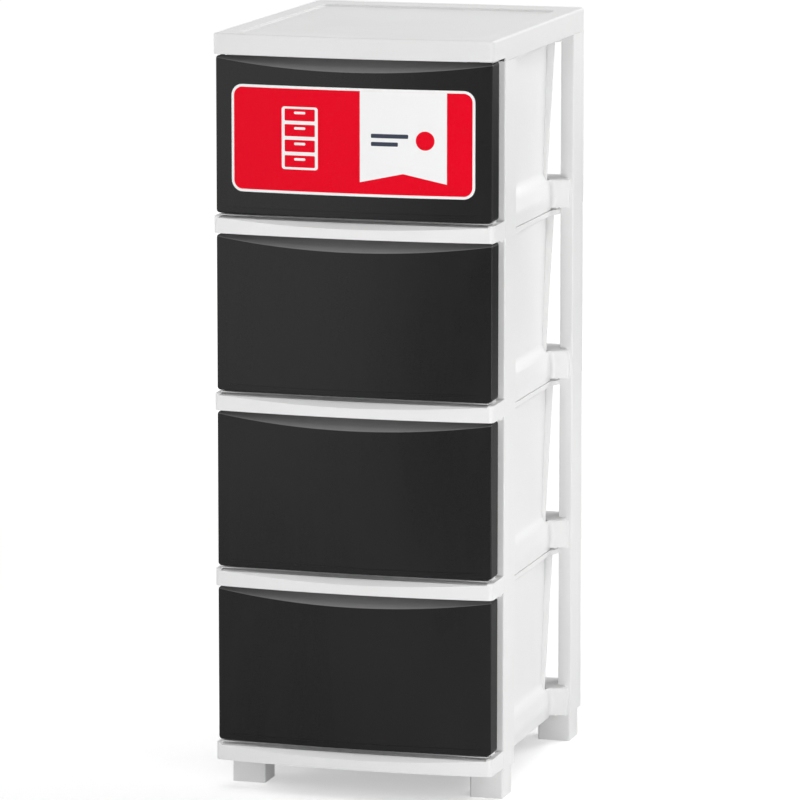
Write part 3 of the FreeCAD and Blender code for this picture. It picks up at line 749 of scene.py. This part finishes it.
def makeDrawers():
    tub = {
        "half": 0.1228,
        "low": 0.0275,
        "high": 0.178,
        "rear": 0.322,
        "wall": 0.0022,
        "corner": 0.014,
        "cornerSteps": 8,
        "footEdge": 0.003,
        "footSteps": 4,
        "beadStep": 0.0012,
        "beadHeight": 0.004,
        "beadLap": 0.002,                 # how far the bead reaches into the front
        "ribHalf": 0.060,
        "ribDrop": 0.009,
        "ribWall": 0.003,
        "ribPlace": 0.2743,
        "ribLap": 0.001,                  # how far the rib reaches into the floor
        "frontDrop": 0.0025,              # how far the front hangs below the floor
        "softEdge": 0.0005,
    }
    half, flat, forward = front["half"], tower["flat"], tower["forward"]
    low = drawerLow.z - seams[1] + tub["ribDrop"] - tub["frontDrop"]
    high = drawerTop - seams[1]
    yEnds = frontY + front["setback"]
    yBack = frontY + front["depth"]
    bm = bowedBlock(half, yEnds, tower["bow"], yBack, (low, high))
    alongY = [edge for edge in edgesAt(bm, lambda p: near(abs(p.x), half))
              if not near(edge.verts[0].co.y, edge.verts[1].co.y)]
    roundEdges(bm, alongY, front["corner"], tower["cornerSteps"])
    bm.normal_update()
    rolled = [edge for edge in bm.edges if len(edge.link_faces) == 2
              and sum(face.normal.y < -forward for face in edge.link_faces) == 1
              and not all(near(vert.co.z, high) for vert in edge.verts)]
    roundEdges(bm, rolled, front["rolledEdge"], front["rolledSteps"])
    planeCut(bm, (0, crescentRear, high), (0, -crescentSlope, 1), keepBelow=True)
    grooveLow = low + front["grooveRise"]
    grooveHigh = grooveLow + front["grooveHeight"]
    grooveHalf = half - front["grooveSide"]
    for z in (grooveLow, grooveHigh):
        planeCut(bm, (0, 0, z), (0, 0, 1))
    for x in (-grooveHalf, grooveHalf):
        planeCut(bm, (x, 0, 0), (1, 0, 0))
    bm.normal_update()
    groove = [face for face in bm.faces
              if face.normal.y < -forward and abs(face.calc_center_median().x) < grooveHalf
              and grooveLow < face.calc_center_median().z < grooveHigh]
    lift(bm, groove, (0, front["grooveDepth"], 0))
    lipBack = crescentRear + front["topLip"]
    planeCut(bm, (0, lipBack, 0), (0, 1, 0))
    dropFaces(bm, lambda normal, centre: normal.y > flat or (normal.z > flat and centre.y > lipBack))
    face = thickened(bm, front["wall"])

    tubBow = tower["bow"] * (tub["half"] / half) ** 2
    tubEnds = yEnds + front["wall"] / 2 - (tower["bow"] - tubBow)
    tubRear = frontY + tub["rear"]
    bm = bowedBlock(tub["half"], tubEnds, tubBow, tubRear, (tub["low"], tub["high"]))
    roundEdges(bm, uprightsAt(bm, tub["half"], tubRear), tub["corner"], tub["cornerSteps"])
    lowEdges = [edge for edge in edgesAt(bm, lambda p: near(p.z, tub["low"]))
                if (edge.verts[0].co + edge.verts[1].co).y / 2 > tubEnds + tub["wall"] / 2]
    roundEdges(bm, lowEdges, tub["footEdge"], tub["footSteps"])
    dropFaces(bm, lambda normal, centre: normal.z > flat or normal.y < -forward)
    box = thickened(bm, tub["wall"])

    beadHalf = tub["half"] + tub["beadStep"]
    beadRear = tubRear + tub["beadStep"]
    bm = bowedBlock(beadHalf, yBack - tub["beadLap"], tubBow, beadRear,
                    (tub["high"] - tub["beadHeight"], tub["high"]))
    roundEdges(bm, uprightsAt(bm, beadHalf, beadRear), tub["corner"] + tub["beadStep"], tub["cornerSteps"])
    dropFaces(bm, lambda normal, centre: abs(normal.z) > flat or normal.y < -forward)
    bead = thickened(bm, tub["beadStep"] + tub["wall"])

    rib = bmesh.new()
    place = frontY + tub["ribPlace"]
    addBox(rib, (-tub["ribHalf"], tub["ribHalf"]), (place, place + tub["ribWall"]),
           (tub["low"] - tub["ribDrop"], tub["low"] + tub["ribLap"]))
    mesh = templateMesh("drawer", joined([face, box, bead, rib]))
    for tier in tiers:
        placePiece(f"drawerShell_{tier}", mesh, f"drawer_{tier}", charcoal,
                   [f"drawer_{tier}"], tub["softEdge"], (0, 0, seams[tier]))


makeDrawers()
print("drawers made")


# label

def makeLabel():
    halfX, halfZ = labelHigh.x, (labelHigh.z - labelLow.z) / 2
    bm = bmesh.new()
    made = bmesh.ops.create_grid(bm, x_segments=1, y_segments=1, size=1)["verts"]
    bmesh.ops.rotate(bm, verts=made, cent=(0, 0, 0), matrix=Matrix.Rotation(math.radians(90), 3, "X"))
    bmesh.ops.scale(bm, verts=made, vec=(halfX, 1, halfZ))
    bmesh.ops.translate(bm, verts=made, vec=(0, 0, labelLow.z + halfZ))
    roundCorners(bm, bm.verts[:], label["radius"], label["cornerSteps"])
    for index in range(1, label["columns"]):
        x = -halfX + 2 * halfX * index / label["columns"]
        planeCut(bm, (x, 0, 0), (1, 0, 0))
    radius = bowRadius(front["half"], tower["bow"])
    centreY = frontY + front["setback"] - tower["bow"] - label["lift"] + radius
    for vert in bm.verts:
        vert.co.y = centreY - math.sqrt(radius ** 2 - vert.co.x ** 2)
    lift(bm, bm.faces[:], (0, -label["thickness"], 0))
    bmesh.ops.recalc_face_normals(bm, faces=bm.faces[:])
    placePiece("frontLabel", templateMesh("frontLabel", bm), "drawer_1", film,
               ["front_label"], label["softEdge"])


makeLabel()
print("label made")


# side frames

def makeSideFrames():
    post = {"width": 0.0282, "setback": 0.047, "depth": 0.045, "edge": 0.0016}
    rear = {"width": 0.0146, "setback": 0.334, "depth": 0.044, "draft": 0.002}
    panel = {"recess": 0.026, "wall": 0.0024, "low": 0.3035, "high": 0.322}
    flange = {"wall": 0.0022, "low": 0.0042, "high": 0.008}
    rail = {
        "side": 0.134,                    # the outermost line, from the middle of the tower
        "undercut": 0.0012,
        "lineHeight": 0.0136,
        "lean": 0.0022,
        "bellyHeight": 0.0308,
        "slopeHeight": 0.040,
        "bends": {1: 0.003, 2: 0.0035, 3: 0.003},    # rounding of the outer bends of the sheet
        "hang": 0.0011,
        "end": 0.315,
    }
    flare = {
        "low": 0.0014,
        "high": 0.0320,
        "end": 0.319,
        "inset": 0.0008,
        "start": 0.005,                   # how far it reaches forward into the rail
        "root": 0.004,
        "heel": 0.009,
        "step": 0.0008,
        "proud": 0.0001,
        "undercutShare": 0.9,             # how closely it follows the rail below and above its line
        "leanShare": 0.95,
        "pocket": 0.005,
        "bends": {2: 0.004, 3: 0.0012},
        "crown": 0.0018,
        "tipCrown": 0.4,                  # share of the crown's inset at the tip and along the belly
        "bellyCrown": 0.5,
    }
    upper = {
        "drop": 0.0016,
        "height": 0.0061,
        "lap": 0.0022,
        "foot": 0.001,
        "bevel": 0.0012,
        "bracket": 0.0142,
        "bracketStart": 0.004,
        "bracketEnd": 0.008,
        "bracketRound": 0.003,
        "bracketInset": 0.0004,
    }
    ledge = {"inner": 0.1088, "top": 0.0272, "wall": 0.0024, "start": 0.0365, "end": 0.326}
    stop = {"start": 0.3223, "end": 0.3247, "height": 0.008}
    block = {"inner": 0.1145, "front": 0.021, "rear": 0.030, "rearStart": 0.338, "rearEnd": 0.3785,
             "side": 0.0027, "foot": 0.005, "lap": 0.0012}

    def at(setback):
        return frontY + setback

    def rectangle(xs, ys):
        return [(xs[0], ys[0]), (xs[1], ys[0]), (xs[1], ys[1]), (xs[0], ys[1])]

    lineX, wall = rail["side"], flange["wall"]
    outX = halfWidth - panel["recess"]
    inX = outX - wall
    postX = halfWidth - post["width"]
    rearX = halfWidth - rear["width"]
    nearY = at(post["setback"] + post["depth"] - panel["wall"])
    seat = at(rear["setback"] + panel["wall"])
    top = pitch - upper["drop"]
    slant = (panel["high"] - panel["low"]) / (top - rail["slopeHeight"])

    def edgeAt(z):
        # how far back the slanted rear edge of the panel is at a height
        return at(panel["low"] + slant * (z - rail["slopeHeight"]))

    postEdges = {1: post["edge"], 2: post["edge"]}
    ys = (at(post["setback"]), at(post["setback"] + post["depth"]))
    parts = [solid("z", rectangle((postX, halfWidth), ys), (0, pitch), postEdges)]
    ys = (at(rear["setback"]), at(rear["setback"] + rear["depth"]))
    parts.append(lofted([[(x, y, z) for x, y in rectangle((rearX, halfWidth), (ys[0], ys[1] + draft))]
                         for z, draft in ((0, rear["draft"]), (pitch, 0))], postEdges))

    profile = [
        (lineX - rail["undercut"], -rail["hang"]),
        (lineX, rail["lineHeight"]),
        (lineX - rail["lean"], rail["bellyHeight"]),
        (outX, rail["slopeHeight"]),
        (outX, top + upper["lap"]),
        (inX, top + upper["lap"]),
        (inX, rail["slopeHeight"] - wall),
        (lineX - rail["lean"] - wall, rail["bellyHeight"] - wall),
        (lineX - wall, rail["lineHeight"]),
        (lineX - rail["undercut"] - wall, -rail["hang"]),
    ]
    sheet = solid("y", profile, (nearY, at(rail["end"])), rail["bends"])
    reach = tower["overrun"]
    floorZ, overZ = flare["high"], pitch + reach
    opening = [(edgeAt(floorZ), floorZ), (rearY, floorZ), (rearY, overZ), (edgeAt(overZ), overZ)]
    parts.append(carved(sheet, solid("x", opening, (inX - reach, lineX + reach))))
    slanted = [(edgeAt(floorZ) - wall, floorZ - wall), (edgeAt(floorZ), floorZ - wall), (edgeAt(top), top),
               (edgeAt(top) - wall, top)]
    lip = solid("x", slanted, (outX - wall / 2, outX + flange["high"] + wall))
    flangeSlope = (flange["high"] - flange["low"]) / (top - floorZ)
    planeCut(lip, (outX + flange["low"], 0, floorZ), (1, 0, -flangeSlope), keepBelow=True)
    parts.append(lip)

    levels = [(flare["low"], lineX - rail["undercut"] * flare["undercutShare"], 0),
              (rail["lineHeight"], lineX + flare["proud"], 0)]
    levels += [(flare["high"] - drop, lineX - rail["lean"] * flare["leanShare"], inset)
               for inset, drop in quarterRound(flare["crown"])]
    startY, rootY, endY = at(rail["end"] - flare["start"]), at(rail["end"]), at(flare["end"])
    pocketY = endY + wall + flare["crown"]
    sections = []
    for z, bellyX, inset in levels:
        tipX = halfWidth - flare["inset"] - inset * flare["tipCrown"]
        belly = inset * flare["bellyCrown"]
        sections.append([
            (bellyX - flare["root"], startY, z),
            (bellyX - belly, startY, z),
            (bellyX + flare["step"] - belly, rootY + belly, z),
            (tipX, endY + inset, z),
            (tipX, pocketY, z),
            (tipX - flare["pocket"], pocketY, z),
            (tipX - flare["pocket"], seat, z),
            (inX, seat, z),
            (inX, rootY - flare["heel"], z),
        ])
    parts.append(lofted(sections, flare["bends"]))

    low = top - upper["height"]
    bar = [(outX - wall / 2, low), (lineX - upper["foot"], low), (lineX, low + upper["bevel"]), (lineX, top),
           (outX - wall / 2, top)]
    parts.append(solid("y", bar, (nearY, rootY - upper["bevel"])))
    bracketX, bracketY = halfWidth - upper["bracket"], rootY - upper["bracketStart"]
    bracket = [(inX, bracketY), (lineX - upper["bracketInset"], bracketY), (lineX, rootY),
               (bracketX, rootY + upper["bracketEnd"]), (bracketX, seat), (inX, seat)]
    parts.append(solid("z", bracket, (low + upper["bracketInset"], top - upper["bracketInset"]),
                       {3: upper["bracketRound"]}))

    ledgeSpan = (ledge["top"] - ledge["wall"], ledge["top"])
    ledgeMiddle = ledge["top"] - ledge["wall"] / 2
    lap = block["lap"]
    ledgeStart, ledgeEnd, rearStart = at(ledge["start"]), at(ledge["end"]), at(block["rearStart"])
    shelf = bmesh.new()
    addBox(shelf, (ledge["inner"], lineX - rail["lean"] - wall / 2), (ledgeStart, ledgeEnd), ledgeSpan)
    addBox(shelf, (inX, rearX), (endY + wall, seat), (-rail["hang"], block["foot"]))
    addBox(shelf, (ledge["inner"], inX + wall / 2), (at(stop["start"]), at(stop["end"])),
           (ledgeMiddle, ledge["top"] + stop["height"]))
    addBox(shelf, (block["inner"], halfWidth - block["side"]), (ledgeStart, at(post["setback"]) + lap),
           (0, block["front"]))
    addBox(shelf, (block["inner"], postX + lap), (at(post["setback"]), nearY), (0, ledgeMiddle))
    addBox(shelf, (block["inner"], rearX + lap), (rearStart, at(block["rearEnd"])), (0, block["rear"]))
    addBox(shelf, (block["inner"], rearX + lap), (ledgeEnd - lap, rearStart + lap), ledgeSpan)
    parts.append(shelf)
    mesh = templateMesh("sideFrame", joined(parts))
    for tier in tiers:
        for side, mirrored in (("right", False), ("left", True)):
            placePiece(f"sideFrame_{side}_{tier}", mesh, "frame", white,
                       [f"side_frame_{side}_{tier}"], tower["softEdge"], (0, 0, seams[tier]), mirrored)


makeSideFrames()
print("side frames made")


# rear rails and feet: the frame's own solids with their edges softened

def softenedCopy(node, bevel):
    bm = bmesh.new()
    bm.from_mesh(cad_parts[node].data)
    bmesh.ops.remove_doubles(bm, verts=bm.verts[:], dist=1e-6)
    bmesh.ops.dissolve_limit(bm, angle_limit=tower["flatTurn"], use_dissolve_boundaries=False,
                             verts=bm.verts[:], edges=bm.edges[:], delimit=set())
    mesh = templateMesh(node, bm)
    placePiece(node + "_look", mesh, "frame", white, [node], bevel)


softEdges = {"rear_rail": 0.0005, "foot": 0.0008}
for tier in tiers:
    softenedCopy(f"rear_rail_{tier}", softEdges["rear_rail"])
for place in ("front_right", "front_left", "rear_right", "rear_left"):
    softenedCopy(f"foot_{place}", softEdges["foot"])
print("rear rails and feet made")


# camera

def placeCamera():
    view = {
        "place": (1.6806, -5.8253, 1.4175),
        "yaw": 16.1075,
        "pitch": 9.4995,
        "roll": 0.0206,
        "focalPixels": 5671.3,
        "framePixels": 800,
        "sensor": 36.0,
        "clipEnd": 100.0,
    }
    yaw, pitch, roll = (math.radians(view[key]) for key in ("yaw", "pitch", "roll"))
    backward = Vector((math.sin(yaw) * math.cos(pitch), -math.cos(yaw) * math.cos(pitch), math.sin(pitch)))
    sideways = Vector((math.cos(yaw), math.sin(yaw), 0))
    upward = backward.cross(sideways)
    turned = sideways * math.cos(roll) + upward * math.sin(roll)
    upward = upward * math.cos(roll) - sideways * math.sin(roll)
    data = bpy.data.cameras.new("camera")
    data.sensor_width = view["sensor"]
    data.lens = view["focalPixels"] * view["sensor"] / view["framePixels"]
    data.clip_end = view["clipEnd"]
    camera = newObject("camera", data)
    rows = Matrix((turned, upward, backward)).transposed()
    camera.matrix_world = Matrix.Translation(view["place"]) @ rows.to_4x4()
    bpy.context.scene.camera = camera


placeCamera()
print("camera placed")


# floor, world and lamps

def makeStage():
    floor = {
        "half": 12.0,
        "squares": 8,
        "colour": (0.88, 0.88, 0.88, 1),
        "veil": (0.46, 0.46, 0.46, 1),    # glow of the floor near the tower, on top of the light on it
        "veilRange": (1.0, 3.2),          # distances from the middle over which the glow turns white
        "glossRange": (5.0, 9.0),         # distances over which glossy pieces begin to mirror the glow
    }
    material, place = newMaterial("paleFloor")
    rays = {kind: place.add("ShaderNodeLightPath", None, None, f"Is {kind} Ray")
            for kind in ("Camera", "Glossy", "Transmission")}
    distance = place.add("ShaderNodeVectorMath", {"operation": "LENGTH"}, {0: place}, "Value")
    veil = place.blend(distance.between(*floor["veilRange"]), floor["veil"], (1, 1, 1, 1))
    far = distance.between(*floor["glossRange"])
    seen = (rays["Camera"] + rays["Transmission"] + rays["Glossy"] * far).smaller(1.0)
    matte = place.add("ShaderNodeBsdfDiffuse", None, {"Color": floor["colour"]})
    glowColour = place.blend(seen, (0, 0, 0, 1), veil)
    glow = place.add("ShaderNodeEmission", None, {"Color": glowColour, "Strength": 1.0})
    both = place.add("ShaderNodeAddShader", None, {0: matte, 1: glow})
    place.add("ShaderNodeOutputMaterial", None, {"Surface": both})
    bm = bmesh.new()
    bmesh.ops.create_grid(bm, x_segments=floor["squares"], y_segments=floor["squares"], size=floor["half"])
    mesh = templateMesh("floor", bm)
    mesh.materials.append(material)
    ground = newObject("floor", mesh)

    skyLevel = 0.03                       # what the world adds to the lamps; seen or mirrored it is white
    world = bpy.data.worlds.new("studio")
    world.use_nodes = True
    tree = world.node_tree
    tree.nodes.clear()
    sight = Wire(tree.nodes.new("ShaderNodeLightPath").outputs["Is Camera Ray"])
    seen = sight
    for kind in ("Glossy", "Transmission"):
        seen = seen.larger(sight.add("ShaderNodeLightPath", None, None, f"Is {kind} Ray"))
    strength = skyLevel + seen * (1 - skyLevel)
    light = sight.add("ShaderNodeBackground", None, {"Color": (1, 1, 1, 1), "Strength": strength})
    sight.add("ShaderNodeOutputWorld", None, {"Surface": light})
    bpy.context.scene.world = world


def addLamp(name, place, target, size, power):
    data = bpy.data.lights.new(name, "AREA")
    data.shape = "RECTANGLE"
    data.size, data.size_y = size
    data.energy = power
    lamp = newObject(name, data)
    lamp.location = place
    lamp.rotation_euler = (Vector(place) - Vector(target)).to_track_quat("Z", "Y").to_euler()
    lamp.visible_camera = False


lampAim = (0, 0, 0.42)
lamps = {
    "lowRight": {"place": (1.90, -2.30, 1.04), "target": lampAim, "size": (1.4, 1.9), "power": 27},
    "footStrip": {"place": (1.50, -1.30, 0.11), "target": (0, 0, 0.03), "size": (1.6, 0.18), "power": 8.5},
    "backRight": {"place": (1.837, 1.837, 1.92), "target": lampAim, "size": (1.6, 1.6), "power": 53},
    "cardLeft": {"place": (-1.114, -2.009, 0.54), "target": lampAim, "size": (1.7, 1.2), "power": 6},
    "left": {"place": (-2.854, -0.503, 1.196), "target": lampAim, "size": (1.8, 2.0), "power": 34},
    "frontTop": {"place": (-0.24, -1.707, 2.626), "target": lampAim, "size": (1.8, 1.0), "power": 17},
    "overhead": {"place": (0.0, -0.167, 2.814), "target": lampAim, "size": (2.0, 2.0), "power": 11},
}
makeStage()
for name, lamp in lamps.items():
    addLamp(name, **lamp)
print("stage lit")

bpy.context.scene.view_settings.view_transform = "Standard"
